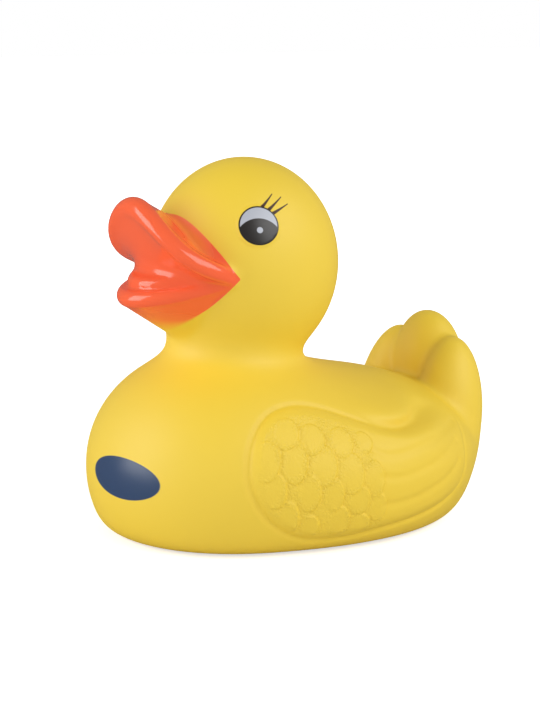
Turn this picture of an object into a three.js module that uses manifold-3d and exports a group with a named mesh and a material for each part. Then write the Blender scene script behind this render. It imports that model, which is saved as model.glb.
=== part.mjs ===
// Bath duck: one soft moulded vinyl shell with a thin wall and a small air hole in its flat base.
// Millimetres, +X forwards (beak), +Y to the duck's left, +Z up, base on z = 0.
// The skin is the zero level of one smooth height-like function, which is negative inside.
// It is contoured on a grid, thinned where it is plain, and then hollowed.

import * as THREE from 'three';
import { mergeVertices } from 'three/addons/utils/BufferGeometryUtils.js';
import Module from 'manifold-3d';

// Driving dimensions

// Body: a hull with its own front, back, top and bottom radii, and a rounder breast.
const hull = { x: -5.6, z: 19.3, front: 48.5, back: 56.4, side: 47.1, top: 26.0, bottom: 36.8, power: 2.0 };
const breast = { x: 18.0, z: 18.3, length: 38.3, side: 40.1, height: 34.3, power: 2.05 };
const bodyBlend = 16.7;

// Head and neck. The neck is a column between two heights, with its own middle and radius at the low one.
const head = { x: 10.9, z: 76.2, length: 27.0, side: 26.2, height: 29.6 };
const neck = {
  low: 50.0, high: 78.0, x: 15.3, radius: 17.0, lowX: 14.4, lowRadius: 17.9,
  headBlend: 8.0, frontBlend: 11.0, backBlend: 7.0,
};

// Tail: one middle lobe and a lower lobe at each side, placed from the hull's rear end.
// Angles are in degrees.
const tailMiddle = { ahead: 7.7, y: 0, up: 20.9, thick: 9.3, wide: 12.6, long: 17.0, tilt: -1.6, splay: 0 };
const tailSide = {
  ahead: 11.2, y: 15.5, up: 10.3, thick: 9.5, wide: 9.9, long: 21.8, tilt: 7.9, splay: -8.3,
};
const tailLobeBlend = 4.0;
const tailBlend = 4.5;

// Beak: flared upper bill, lower lip and the fold between them. It stands out from the head's upright axis.
// Drops are below the head's middle, depths are inside the face, and corners are angles from ahead.
// reach and rise are how far the lip's edge stands out and up, as w a + w^2 b + w^3 c.
// w goes from 0 at the corner of the mouth to 1 in the middle.
const upperBill = {
  corner: 57.6, cornerDrop: 2.5, cornerSink: 2.5, lip: 3.0, reach: [6.7, 17.16, -16.05], rise: [11.0, -15.0, 23.48],
  topDepth: 7.0, topDrop: 11.6, topRadius: 6.0, palateOut: 4.4, palateRadius: 4.5, palateRise: 1.0,
};
const mouthFold = { depth: 15.0, radius: 5.0, rootRadius: 4.0, drop: 1.5 };
const lowerLip = {
  corner: 56.0, cornerDrop: 2.8, cornerSink: 1.5, lip: 2.5, reach: [-0.39, -5.31, 15.03], rise: [-1.99, -1.33, -1.75],
  chinDepth: 7.0, chinDrop: 12.2, chinRadius: 8.0, innerBack: 3.0, innerRise: 4.0, innerLip: 2.2,
};
// Rounding between beak and head: below the head's middle, and on top of the bill.
const beakBlend = 1.8;
const beakTopBlend = 3.5;
// Out of the mouth's corners the beak sinks into the head by this much for each corner angle.
const beakSink = 40;

// Eyes: flat round pads, raised a little from the head. turn is from straight ahead and lift from level.
const eye = { turn: 68.4, lift: 28.4, radius: 5.9, rise: 0.35 };

// Wings, in two surface lengths of the side: s runs back and t runs up.
// They are angles about the wing's middle, taken on an ellipsoid that follows the hull.
const wingMap = {
  x: hull.x + 1.6, z: hull.z + 2.7, length: hull.back + 0.7, side: hull.side, height: hull.top + 4.0,
  lengthPerTurn: 50.0, heightPerTurn: 32.0,
};
// The wing's face rises inside its outline, and a fine line runs round it. Both fade out on the tail, from s to s.
const wing = { rise: 0.8, edge: 4.0, line: 0.45, lineWidth: 1.4, fadeFrom: 20.0, fadeTo: 34.0 };
const wingOutline = [
  [-34.0, 6.0], [-32.9, 14.2], [-29.6, 19.4], [-23.0, 21.9], [-15.4, 21.6], [-7.9, 19.5], [-1.1, 16.5],
  [4.8, 13.9], [11.5, 12.2], [19.0, 12.8], [27.0, 15.1], [35.0, 16.4], [41.5, 15.6], [43.0, 11.8],
  [39.6, 7.0], [35.6, 1.5], [34.0, -4.5], [31.4, -9.4], [24.0, -13.0], [13.0, -15.4], [2.0, -16.8],
  [-9.0, -18.2], [-20.0, -17.2], [-28.0, -11.9], [-32.8, -3.0],
];
// The deep crease between the back and the rear end of the wing, with a swell at each side of it.
// It opens into a wider hollow beside the tail.
const crease = {
  depth: 1.4, width: 1.6, crest: 0.5, dome: 0.6, opening: 1.2, openFrom: 16.0, openTo: 34.0,
  startFrom: -4.0, startTo: 14.0, endFrom: 28.0, endTo: 41.0,
};
const creasePath = [
  [0.0, 16.0], [4.8, 13.9], [9.3, 12.6], [13.2, 12.2], [18.0, 12.7], [22.0, 13.6], [27.0, 15.1],
  [33.0, 16.4], [39.0, 16.6],
];
// Feather grooves of the rear half.
const feather = { depth: 0.45, width: 1.3 };
const featherPaths = [
  [[-1.6, 7.4], [2.5, 5.2], [6.5, 4.8], [11.0, 5.5], [18.0, 6.6], [26.0, 8.1], [33.0, 9.0], [38.5, 9.6]],
  [[0.5, -0.8], [4.5, -1.6], [9.0, -1.4], [14.8, -0.3], [20.0, 1.1], [26.0, 3.0], [31.5, 4.6]],
  [[1.6, -9.2], [6.0, -9.1], [11.0, -8.5], [16.0, -7.2], [21.0, -5.6], [26.0, -3.5], [29.5, -1.5]],
];
// Overlapping scales of the front half, from the rear ones to the front ones: middle, half length, half height.
const scale = { rise: 0.55, edge: 0.8 };
const scales = [
  [-0.8, -9.3, 2.4, 4.0], [-5.2, -14.0, 2.6, 3.2], [-2.0, -0.9, 2.8, 5.2], [-3.2, 9.6, 2.4, 3.2],
  [-6.3, -6.5, 3.0, 4.2], [-11.5, -12.1, 3.1, 4.6], [-8.1, 1.4, 3.3, 6.0], [-9.8, 10.4, 3.4, 4.4],
  [-12.9, -4.3, 2.7, 4.5], [-18.8, -13.0, 2.5, 3.4], [-15.1, 4.2, 3.4, 5.8], [-18.2, 11.7, 3.9, 4.4],
  [-19.0, -3.2, 2.9, 5.3], [-24.1, -9.9, 2.6, 4.7], [-22.5, 5.8, 3.2, 6.3], [-24.9, 13.5, 3.6, 4.4],
  [-27.3, -2.2, 2.8, 4.9], [-29.6, 6.0, 3.6, 5.6],
];

// Shell: wall, flat base and air hole.
const wall = 1.8;
const baseRounding = 8.0;
const airHole = { x: -12.0, diameter: 3.0, sides: 24 };

// Contouring: grid steps and the triangles kept.
const skinStep = 1.3;
const cavityStep = 2.6;
const skinTriangles = 8200;
const cavityTriangles = 1500;
const margin = 4;

const vinyl = { color: 0xf2c83c, roughness: 0.42, metalness: 0.0 };

// Small helpers

const radians = THREE.MathUtils.degToRad;
const clamp = THREE.MathUtils.clamp;

// Smooth least and greatest of two distances; k is the width of the rounding between them.
function blendMin(a, b, k) {
  const h = Math.max(k - Math.abs(a - b), 0) / k;
  return Math.min(a, b) - (h * h * h * k) / 6;
}

function blendMax(a, b, k) {
  return -blendMin(-a, -b, k);
}

function smoothStep(low, high, value) {
  const f = clamp((value - low) / (high - low), 0, 1);
  return f * f * (3 - 2 * f);
}

// Turn in the x-z plane; a positive angle leans the upper end backwards.
function leanBack(x, z, angle) {
  const c = Math.cos(radians(angle));
  const s = Math.sin(radians(angle));
  return [x * c + z * s, -x * s + z * c];
}

// Near distance to an ellipsoid.
function ellipsoid(x, y, z, rx, ry, rz) {
  const inner = Math.hypot(x / rx, y / ry, z / rz);
  const slope = Math.hypot(x / rx ** 2, y / ry ** 2, z / rz ** 2);
  return (inner * (inner - 1)) / Math.max(slope, 1e-6);
}

// Near distance to an ellipsoid whose sections are of any power; 2 is the plain ellipse.
function superEllipsoid(x, y, z, rx, ry, rz, power) {
  const a = Math.abs(x / rx) + 1e-4;
  const b = Math.abs(y / ry) + 1e-4;
  const c = Math.abs(z / rz) + 1e-4;
  const sum = a ** power + b ** power + c ** power;
  const size = sum ** (1 / power);
  const steep = power - 1;
  const slope = Math.hypot(a ** steep / rx, b ** steep / ry, c ** steep / rz) * sum ** (1 / power - 1);
  return ((size - 1) / Math.max(slope, 1e-6)) * Math.min(1, 0.5 + 0.5 * size);
}

// Distance to a flat tapered bar from (ar, az) to (br, bz), with an end radius at each.
function taperedBar(r, z, ar, az, br, bz, startRadius, endRadius) {
  const dr = br - ar;
  const dz = bz - az;
  const along = clamp(((r - ar) * dr + (z - az) * dz) / (dr * dr + dz * dz + 1e-9), 0, 1);
  const radius = startRadius + (endRadius - startRadius) * along;
  return Math.hypot(r - ar - along * dr, z - az - along * dz) - radius;
}

// w a + w^2 b + w^3 c
function cubic([a, b, c], w) {
  return w * (a + w * (b + w * c));
}

// Big forms

function bodyForm(x, y, z) {
  const dx = x - hull.x;
  const dz = z - hull.z;
  const lengthwise = dx > 0 ? hull.front : hull.back;
  const upright = dz > 0 ? hull.top : hull.bottom;
  const main = superEllipsoid(dx, y, dz, lengthwise, hull.side, upright, hull.power);
  const b = breast;
  const front = superEllipsoid(x - b.x, y, z - b.z, b.length, b.side, b.height, b.power);
  return blendMin(main, front, bodyBlend);
}

function tailLobe(lobe, x, y, z) {
  const rootX = hull.x - hull.back + lobe.ahead;
  const rootZ = hull.z + lobe.up;
  const [lengthwise, height] = leanBack(x - rootX, z - rootZ, lobe.tilt);
  const [across, upright] = leanBack(y - lobe.y, height, -lobe.splay);
  return ellipsoid(lengthwise, across, upright, lobe.thick, lobe.wide, lobe.long);
}

function tailForm(x, y, z) {
  return blendMin(tailLobe(tailMiddle, x, y, z), tailLobe(tailSide, x, Math.abs(y), z), tailLobeBlend);
}

function headForm(x, y, z) {
  const skull = ellipsoid(x - head.x, y, z - head.z, head.length, head.side, head.height);
  const level = clamp(z, neck.low, neck.high);
  const high = (level - neck.low) / (neck.high - neck.low);
  const axis = neck.lowX + (neck.x - neck.lowX) * high;
  const radius = neck.lowRadius + (neck.radius - neck.lowRadius) * high;
  const column = Math.hypot(x - axis, y, z - level) - radius;
  return blendMin(skull, column, neck.headBlend);
}

// The beak's sections are taken in upright planes through the head's axis.
// Each section shrinks from the middle to nothing at the mouth's corners.
function beakForm(x, y, z) {
  const angle = THREE.MathUtils.radToDeg(Math.atan2(Math.abs(y), x - head.x));
  const r = Math.hypot(x - head.x, y);
  const u = upperBill;
  const l = lowerLip;

  const w = clamp(1 - (angle / u.corner) ** 2, 0, 1);
  const face = head.length - beakSink * clamp(angle / u.corner - 1, 0, 3);
  const lip = u.lip * (0.4 + 0.6 * Math.sqrt(w));
  const tip = face + cubic(u.reach, w) - (1 - w) ** 3 * (u.cornerSink + lip);
  const rim = head.z - u.cornerDrop + cubic(u.rise, w);
  const foldRadius = mouthFold.radius * (0.5 + 0.5 * w);
  const mouth = face - 1 + (1 + u.palateOut) * w;
  const foldRoot = face - mouthFold.depth;
  const foldEnd = mouth - foldRadius;
  const foldLevel = head.z + (1 - mouthFold.drop) * w;
  const fold = taperedBar(r, z, foldRoot, head.z, foldEnd, foldLevel, mouthFold.rootRadius, foldRadius);
  const palateRadius = 1 + (u.palateRadius - 1) * w;
  const palateLevel = head.z + u.palateRise * w;
  const palate = taperedBar(r, z, mouth - mouthFold.radius, palateLevel, tip, rim, palateRadius, lip);
  const topRadius = u.topRadius * (0.3 + 0.7 * w);
  const topRoot = face - u.topDepth - 5 * (1 - w);
  const top = taperedBar(r, z, topRoot, rim - u.topDrop * w, tip, rim, topRadius, lip);
  const upper = blendMin(palate, top, 1.0);

  const v = clamp(1 - (angle / l.corner) ** 2, 0, 1);
  const lowFace = head.length - beakSink * clamp(angle / l.corner - 1, 0, 3);
  const lowLip = l.lip * (0.3 + 0.7 * Math.sqrt(v));
  const lowTip = lowFace + cubic(l.reach, v) - (1 - v) ** 3 * (l.cornerSink + lowLip);
  const lowRim = head.z - l.cornerDrop + cubic(l.rise, v);
  const chinRoot = lowFace - l.chinDepth * (2 - v);
  const chinRadius = l.chinRadius * (0.4 + 0.6 * v);
  const chinLevel = head.z - l.chinDrop + 4 * (1 - v);
  const chin = taperedBar(r, z, chinRoot, chinLevel, lowTip, lowRim, chinRadius, lowLip);
  const innerTip = lowTip - l.innerBack * v;
  const innerLip = l.innerLip * (0.3 + 0.7 * v);
  const innerRim = lowRim + l.innerRise * v;
  const inner = taperedBar(r, z, lowFace - l.chinDepth, head.z - 1, innerTip, innerRim, 3.5, innerLip);
  const lower = blendMin(chin, inner, 2.2);

  return blendMin(blendMin(lower, fold, 3.5), upper, 2.5);
}

// Low relief

// Closed or open curve through the points, as short straight pieces.
function curvePieces(points, closed, perPoint) {
  const knots = points.map(([s, t]) => new THREE.Vector3(s, t, 0));
  const curve = new THREE.CatmullRomCurve3(knots, closed, 'catmullrom', 0.5);
  return curve.getPoints(points.length * perPoint).map((p) => [p.x, p.y]);
}

const outlinePieces = curvePieces(wingOutline, true, 3);
const creasePieces = curvePieces(creasePath, false, 3);
const featherPieces = featherPaths.map((path) => curvePieces(path, false, 3));

function distanceToPath(pieces, s, t) {
  let least = Infinity;
  for (let i = 0; i + 1 < pieces.length; i += 1) {
    const [s0, t0] = pieces[i];
    const ds = pieces[i + 1][0] - s0;
    const dt = pieces[i + 1][1] - t0;
    const along = clamp(((s - s0) * ds + (t - t0) * dt) / (ds * ds + dt * dt + 1e-9), 0, 1);
    least = Math.min(least, Math.hypot(s - s0 - along * ds, t - t0 - along * dt));
  }
  return least;
}

function insidePath(pieces, s, t) {
  let inside = false;
  for (let i = 0; i + 1 < pieces.length; i += 1) {
    const [s0, t0] = pieces[i];
    const [s1, t1] = pieces[i + 1];
    if (t0 > t !== t1 > t && s < s0 + ((s1 - s0) * (t - t0)) / (t1 - t0)) inside = !inside;
  }
  return inside;
}

function groove(distance, depth, width) {
  return depth * Math.exp(-((distance / width) ** 2));
}

// Each scale rises towards its rear edge and covers the scale behind it.
function scaleRelief(s, t) {
  let height = 0;
  for (const [middleS, middleT, halfLength, halfHeight] of scales) {
    const ds = (s - middleS) / halfLength;
    const dt = (t - middleT) / halfHeight;
    const cover = smoothStep(-0.5, 0.5, ((1 - Math.hypot(ds, dt)) * halfLength) / scale.edge);
    const top = scale.rise * (0.45 + 0.55 * clamp(ds, -0.6, 1));
    height = height * (1 - cover) + top * cover;
  }
  return height;
}

function wingRelief(x, y, z) {
  const m = wingMap;
  const dx = (x - m.x) / m.length;
  const dy = Math.abs(y) / m.side;
  const s = m.lengthPerTurn * Math.atan2(-dx, dy);
  const t = m.heightPerTurn * Math.atan2((z - m.z) / m.height, Math.hypot(dx, dy));
  if (Math.abs(s) > 56 || Math.abs(t) > 34) return 0;
  const toEdge = distanceToPath(outlinePieces, s, t);
  const toCrease = distanceToPath(creasePieces, s, t);
  const onset = smoothStep(crease.startFrom, crease.startTo, s);
  const strength = onset * (1 - smoothStep(crease.endFrom, crease.endTo, s));
  const fade = 1 - smoothStep(wing.fadeFrom, wing.fadeTo, s);
  const line = groove(toEdge, wing.line * (0.5 + 0.5 * fade), wing.lineWidth);
  const creaseWidth = crease.width * (1 + crease.opening * smoothStep(crease.openFrom, crease.openTo, s));
  const valley = Math.max(line, groove(toCrease, crease.depth * strength, creaseWidth));
  const swell = strength * smoothStep(0, 4, toCrease) * (1 - smoothStep(4, 13, toCrease));
  if (!insidePath(outlinePieces, s, t)) return crease.dome * swell - valley;
  const featherGaps = featherPieces.map((pieces) => distanceToPath(pieces, s, t));
  const furrow = groove(Math.min(...featherGaps), feather.depth, feather.width) * smoothStep(0.5, 2.5, toEdge);
  const raised = wing.rise * fade * smoothStep(0, wing.edge, toEdge);
  const scaled = scaleRelief(s, t) * smoothStep(0.8, 3.0, toEdge);
  return raised + scaled - furrow + crease.crest * swell - valley;
}

// The eye's middle on the head, and the head's outward direction there.
const eyeDirection = new THREE.Vector3(
  Math.cos(radians(eye.lift)) * Math.cos(radians(eye.turn)),
  Math.cos(radians(eye.lift)) * Math.sin(radians(eye.turn)),
  Math.sin(radians(eye.lift)),
);
const headSize = new THREE.Vector3(head.length, head.side, head.height);
const eyeFromHead = eyeDirection.clone().divideScalar(eyeDirection.clone().divide(headSize).length());
const eyeNormal = eyeFromHead.clone().divide(headSize).divide(headSize).normalize();

function eyeRelief(x, y, z) {
  const from = new THREE.Vector3(x - head.x, Math.abs(y), z - head.z).sub(eyeFromHead);
  const depth = from.dot(eyeNormal);
  const radius = Math.sqrt(Math.max(from.lengthSq() - depth * depth, 0));
  return Math.abs(depth) < eye.radius ? eye.rise * smoothStep(-0.4, 0.4, eye.radius - radius) : 0;
}

// Whole skin, and the hollow inside it

function plainForm(x, y, z) {
  const trunk = blendMin(bodyForm(x, y, z), tailForm(x, y, z), tailBlend);
  const forward = smoothStep(neck.x - neck.radius, neck.x + 6, x);
  return blendMin(trunk, headForm(x, y, z), neck.backBlend + (neck.frontBlend - neck.backBlend) * forward);
}

function skinForm(x, y, z) {
  const plain = plainForm(x, y, z);
  const rounding = beakBlend + (beakTopBlend - beakBlend) * smoothStep(head.z + 2, head.z + 8, z);
  const withBeak = blendMin(plain, beakForm(x, y, z), rounding);
  const near = Math.abs(withBeak) < 3 ? wingRelief(x, y, z) + eyeRelief(x, y, z) : 0;
  return blendMax(withBeak - near, -z, baseRounding);
}

function cavityForm(x, y, z) {
  return blendMax(plainForm(x, y, z) + wall, wall - z, baseRounding - wall);
}

// Contouring: one vertex in each grid cell that the surface crosses, moved onto the surface.

const tailReach = Math.max(tailMiddle.thick - tailMiddle.ahead, tailSide.thick - tailSide.ahead, 0);
const tailTop = hull.z + Math.max(tailMiddle.up + tailMiddle.long, tailSide.up + tailSide.long);
const beakReach = 2 * Math.max(cubic(upperBill.reach, 1), cubic(lowerLip.reach, 1));
const bounds = {
  back: hull.x - hull.back - tailReach - margin,
  front: Math.max(hull.x + hull.front, breast.x + breast.length, head.x + head.length + beakReach) + margin,
  side: Math.max(hull.side, breast.side) + wing.rise + scale.rise + margin,
  top: Math.max(head.z + head.height, tailTop) + margin,
};

function contour(form, step) {
  const counts = [
    Math.ceil((bounds.front - bounds.back) / step) + 1,
    2 * Math.ceil(bounds.side / step) + 1,
    Math.ceil(bounds.top / step) + 3,
  ];
  const start = [bounds.back, -step * Math.ceil(bounds.side / step), -1.5 * step];
  const [nx, ny, nz] = counts;
  const values = new Float64Array(nx * ny * nz);
  const at = (i, j, k) => i + nx * (j + ny * k);
  const formAt = (i, j, k) => form(start[0] + i * step, start[1] + j * step, start[2] + k * step);

  // Far from the surface one value stands for a whole block of grid points.
  const block = 4;
  const farEnough = 2 * step * block;
  for (let k = 0; k < nz; k += block) {
    for (let j = 0; j < ny; j += block) {
      for (let i = 0; i < nx; i += block) {
        const half = (block - 1) / 2;
        const middleValue = formAt(i + half, j + half, k + half);
        const far = Math.abs(middleValue) > farEnough;
        for (let c = k; c < Math.min(k + block, nz); c += 1) {
          for (let b = j; b < Math.min(j + block, ny); b += 1) {
            for (let a = i; a < Math.min(i + block, nx); a += 1) {
              values[at(a, b, c)] = far ? middleValue : formAt(a, b, c);
            }
          }
        }
      }
    }
  }

  // A grid square whose corners alternate would pinch the surface; its weakest corner changes side.
  const strides = [at(1, 0, 0), at(0, 1, 0), at(0, 0, 1)];
  for (let here = 0; here < values.length - strides[1] - strides[2]; here += 1) {
    for (let axis = 0; axis < 3; axis += 1) {
      const u = strides[(axis + 1) % 3];
      const w = strides[(axis + 2) % 3];
      const square = [here, here + u, here + u + w, here + w];
      const [p, q, r, t] = square.map((node) => values[node] < 0);
      if (p !== r || q !== t || p === q) continue;
      const strength = (node) => Math.abs(values[node]);
      const weakest = square.reduce((best, node) => (strength(node) < strength(best) ? node : best));
      values[weakest] = -values[weakest];
    }
  }

  const points = [];
  const cellPoint = new Map();
  const corners = [0, 1, 2, 3, 4, 5, 6, 7].map((c) => [c & 1, (c >> 1) & 1, (c >> 2) & 1]);
  const edges = [];
  for (let a = 0; a < 8; a += 1) {
    for (let bit = 1; bit < 8; bit *= 2) if (!(a & bit)) edges.push([a, a | bit]);
  }
  for (let k = 0; k + 1 < nz; k += 1) {
    for (let j = 0; j + 1 < ny; j += 1) {
      for (let i = 0; i + 1 < nx; i += 1) {
        const v = corners.map(([a, b, c]) => values[at(i + a, j + b, k + c)]);
        const insideCount = v.filter((value) => value < 0).length;
        if (insideCount === 0 || insideCount === 8) continue;
        const sum = [0, 0, 0];
        let crossings = 0;
        for (const [a, b] of edges) {
          if (v[a] < 0 === v[b] < 0) continue;
          const f = v[a] / (v[a] - v[b]);
          for (let axis = 0; axis < 3; axis += 1) {
            sum[axis] += corners[a][axis] + f * (corners[b][axis] - corners[a][axis]);
          }
          crossings += 1;
        }
        const cell = [i, j, k];
        cellPoint.set(at(i, j, k), points.length);
        const mean = sum.map((value, axis) => start[axis] + step * (cell[axis] + value / crossings));
        points.push(settle(form, mean));
      }
    }
  }

  // Four cells share each grid edge that the surface crosses; they make one quad.
  const triangles = [];
  for (let k = 1; k + 1 < nz; k += 1) {
    for (let j = 1; j + 1 < ny; j += 1) {
      for (let i = 1; i + 1 < nx; i += 1) {
        const here = at(i, j, k);
        for (let axis = 0; axis < 3; axis += 1) {
          const inside = values[here] < 0;
          if (inside === values[here + strides[axis]] < 0) continue;
          const u = strides[(axis + 1) % 3];
          const w = strides[(axis + 2) % 3];
          const ring = [here - u - w, here - w, here, here - u].map((cell) => cellPoint.get(cell));
          if (!inside) ring.reverse();
          pushQuad(triangles, points, ring);
        }
      }
    }
  }
  return { points, triangles };
}

// Two triangles on the shorter diagonal of a quad.
function pushQuad(triangles, points, [a, b, c, d]) {
  const gap = (p, q) => Math.hypot(...points[p].map((value, axis) => value - points[q][axis]));
  if (gap(a, c) < gap(b, d)) triangles.push([a, b, c], [a, c, d]);
  else triangles.push([a, b, d], [b, c, d]);
}

// Step along the slope of the form until the point lies on its zero level.
function settle(form, [x, y, z]) {
  const h = 0.02;
  for (let pass = 0; pass < 2; pass += 1) {
    const value = form(x, y, z);
    const gx = (form(x + h, y, z) - form(x - h, y, z)) / (2 * h);
    const gy = (form(x, y + h, z) - form(x, y - h, z)) / (2 * h);
    const gz = (form(x, y, z + h) - form(x, y, z - h)) / (2 * h);
    const slope = gx * gx + gy * gy + gz * gz;
    const move = clamp(value / Math.max(slope, 0.04), -0.5, 0.5);
    x -= move * gx;
    y -= move * gy;
    z -= move * gz;
  }
  return [x, y, z];
}

// Thinning: the edge that changes the surface least is closed up first.

function thin({ points, triangles }, keep) {
  const facesOf = points.map(() => new Set());
  triangles.forEach((face, index) => face.forEach((p) => facesOf[p].add(index)));
  const quadric = points.map(() => new Float64Array(10));
  const stamp = new Int32Array(points.length);
  const normalOf = (a, b, c) => {
    const ux = b[0] - a[0];
    const uy = b[1] - a[1];
    const uz = b[2] - a[2];
    const vx = c[0] - a[0];
    const vy = c[1] - a[1];
    const vz = c[2] - a[2];
    return [uy * vz - uz * vy, uz * vx - ux * vz, ux * vy - uy * vx];
  };
  const addPlane = (q, nx, ny, nz, d, weight) => {
    const row = [nx * nx, nx * ny, nx * nz, nx * d, ny * ny, ny * nz, ny * d, nz * nz, nz * d, d * d];
    for (let i = 0; i < 10; i += 1) q[i] += row[i] * weight;
  };
  const evenness = 0.002;
  for (const face of triangles) {
    const [a, b, c] = face.map((p) => points[p]);
    const n = normalOf(a, b, c);
    const size = Math.hypot(...n) || 1e-12;
    const [nx, ny, nz] = n.map((value) => value / size);
    const d = -(nx * a[0] + ny * a[1] + nz * a[2]);
    for (const p of face) {
      addPlane(quadric[p], nx, ny, nz, d, size / 6);
      addPlane(quadric[p], 1, 0, 0, -points[p][0], (evenness * size) / 6);
      addPlane(quadric[p], 0, 1, 0, -points[p][1], (evenness * size) / 6);
      addPlane(quadric[p], 0, 0, 1, -points[p][2], (evenness * size) / 6);
    }
  }

  // The best place for the joined point, and what it costs.
  const joined = (a, b) => {
    const q = quadric[a].map((value, i) => value + quadric[b][i]);
    const [xx, xy, xz, xw, yy, yz, yw, zz, zw, ww] = q;
    const c0 = yy * zz - yz * yz;
    const c1 = xz * yz - xy * zz;
    const c2 = xy * yz - xz * yy;
    const det = xx * c0 + xy * c1 + xz * c2;
    const x = -(c0 * xw + c1 * yw + c2 * zw) / det;
    const y = -(c1 * xw + (xx * zz - xz * xz) * yw + (xy * xz - xx * yz) * zw) / det;
    const z = -(c2 * xw + (xy * xz - xx * yz) * yw + (xx * yy - xy * xy) * zw) / det;
    const costX = x * (xx * x + 2 * (xy * y + xz * z + xw));
    const costY = y * (yy * y + 2 * (yz * z + yw));
    const cost = costX + costY + z * (zz * z + 2 * zw) + ww;
    return { a, b, cost, place: [x, y, z], sum: stamp[a] + stamp[b] };
  };

  const heap = [];
  const push = (item) => {
    let i = heap.length;
    heap.push(item);
    while (i > 0) {
      const parent = (i - 1) >> 1;
      if (heap[parent].cost <= item.cost) break;
      heap[i] = heap[parent];
      i = parent;
    }
    heap[i] = item;
  };
  const pop = () => {
    const first = heap[0];
    const item = heap.pop();
    let i = 0;
    while (heap.length && 2 * i + 1 < heap.length) {
      let child = 2 * i + 1;
      if (child + 1 < heap.length && heap[child + 1].cost < heap[child].cost) child += 1;
      if (heap[child].cost >= item.cost) break;
      heap[i] = heap[child];
      i = child;
    }
    if (heap.length) heap[i] = item;
    return first;
  };
  const around = (p) => {
    const ring = new Set();
    for (const f of facesOf[p]) for (const q of triangles[f]) if (q !== p) ring.add(q);
    return ring;
  };
  for (const face of triangles) {
    for (let i = 0; i < 3; i += 1) {
      const a = face[i];
      const b = face[(i + 1) % 3];
      if (a < b) push(joined(a, b));
    }
  }

  // A closed-up edge may not turn any remaining triangle over or fold the surface on itself.
  const allowed = ({ a, b, place }) => {
    const ringB = around(b);
    let shared = 0;
    for (const p of around(a)) if (ringB.has(p)) shared += 1;
    if (shared !== 2) return false;
    for (const [end, other] of [[a, b], [b, a]]) {
      for (const f of facesOf[end]) {
        if (triangles[f].includes(other)) continue;
        const before = normalOf(...triangles[f].map((p) => points[p]));
        const after = normalOf(...triangles[f].map((p) => (p === end ? place : points[p])));
        const agree = before[0] * after[0] + before[1] * after[1] + before[2] * after[2];
        const sizes = Math.hypot(...before) * Math.hypot(...after);
        if (agree < 0.35 * sizes || Math.hypot(...after) < 0.02) return false;
      }
    }
    return true;
  };

  let left = triangles.length;
  while (left > keep && heap.length) {
    const item = pop();
    const { a, b, place } = item;
    if (!facesOf[a].size || !facesOf[b].size || item.sum !== stamp[a] + stamp[b]) continue;
    if (!around(a).has(b) || !allowed(item)) continue;
    for (const f of [...facesOf[b]]) {
      if (triangles[f].includes(a)) {
        for (const p of triangles[f]) facesOf[p].delete(f);
        triangles[f] = null;
        left -= 1;
      } else {
        triangles[f] = triangles[f].map((p) => (p === b ? a : p));
        facesOf[b].delete(f);
        facesOf[a].add(f);
      }
    }
    points[a] = place;
    quadric[a] = quadric[a].map((value, i) => value + quadric[b][i]);
    stamp[a] += stamp[b] + 1;
    for (const p of around(a)) push(joined(a, p));
  }
  return { points, triangles: triangles.filter(Boolean) };
}

// The base is truly flat: points that the contour leaves a hair off z = 0 are put on it.
function flattenBase(mesh, level) {
  for (const p of mesh.points) if (Math.abs(p[2] - level) < 0.03) p[2] = level;
  return mesh;
}

// Solids

const wasm = await Module();
wasm.setup();

function solidOf(vertProperties, triVerts) {
  return new wasm.Manifold(new wasm.Mesh({ numProp: 3, vertProperties, triVerts }));
}

function solidFromContour({ points, triangles }) {
  const order = new Map();
  const flat = [];
  const index = [];
  for (const face of triangles) {
    for (const p of face) {
      if (!order.has(p)) {
        order.set(p, order.size);
        flat.push(...points[p]);
      }
      index.push(order.get(p));
    }
  }
  return solidOf(new Float32Array(flat), new Uint32Array(index));
}

function solidFromGeometry(geometry) {
  geometry.deleteAttribute('normal');
  geometry.deleteAttribute('uv');
  const merged = mergeVertices(geometry, 1e-4);
  return solidOf(new Float32Array(merged.attributes.position.array), new Uint32Array(merged.index.array));
}

const outside = solidFromContour(flattenBase(thin(contour(skinForm, skinStep), skinTriangles), 0));
const inside = solidFromContour(flattenBase(thin(contour(cavityForm, cavityStep), cavityTriangles), wall));

const drillLength = 2 * wall;
const drillRadius = airHole.diameter / 2;
const drill = new THREE.CylinderGeometry(drillRadius, drillRadius, drillLength, airHole.sides);
drill.rotateX(Math.PI / 2);
drill.translate(airHole.x, 0, wall / 2);

const shell = outside.subtract(inside).subtract(solidFromGeometry(drill));

// The frame's origin is under the middle of the shell's box.
const shellMesh = shell.getMesh();
const geometry = new THREE.BufferGeometry();
geometry.setAttribute('position', new THREE.BufferAttribute(new Float32Array(shellMesh.vertProperties), 3));
geometry.setIndex(new THREE.BufferAttribute(new Uint32Array(shellMesh.triVerts), 1));
geometry.computeBoundingBox();
const middle = geometry.boundingBox.getCenter(new THREE.Vector3());
geometry.translate(-middle.x, -middle.y, 0);
geometry.computeVertexNormals();

const duckShell = new THREE.Mesh(
  geometry,
  new THREE.MeshStandardMaterial(vinyl),
);
duckShell.name = 'duck_shell';

const duck = new THREE.Group();
duck.add(duckShell);

export default duck;
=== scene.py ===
import math
import bpy
import numpy as np
from mathutils import Matrix, Vector


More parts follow.
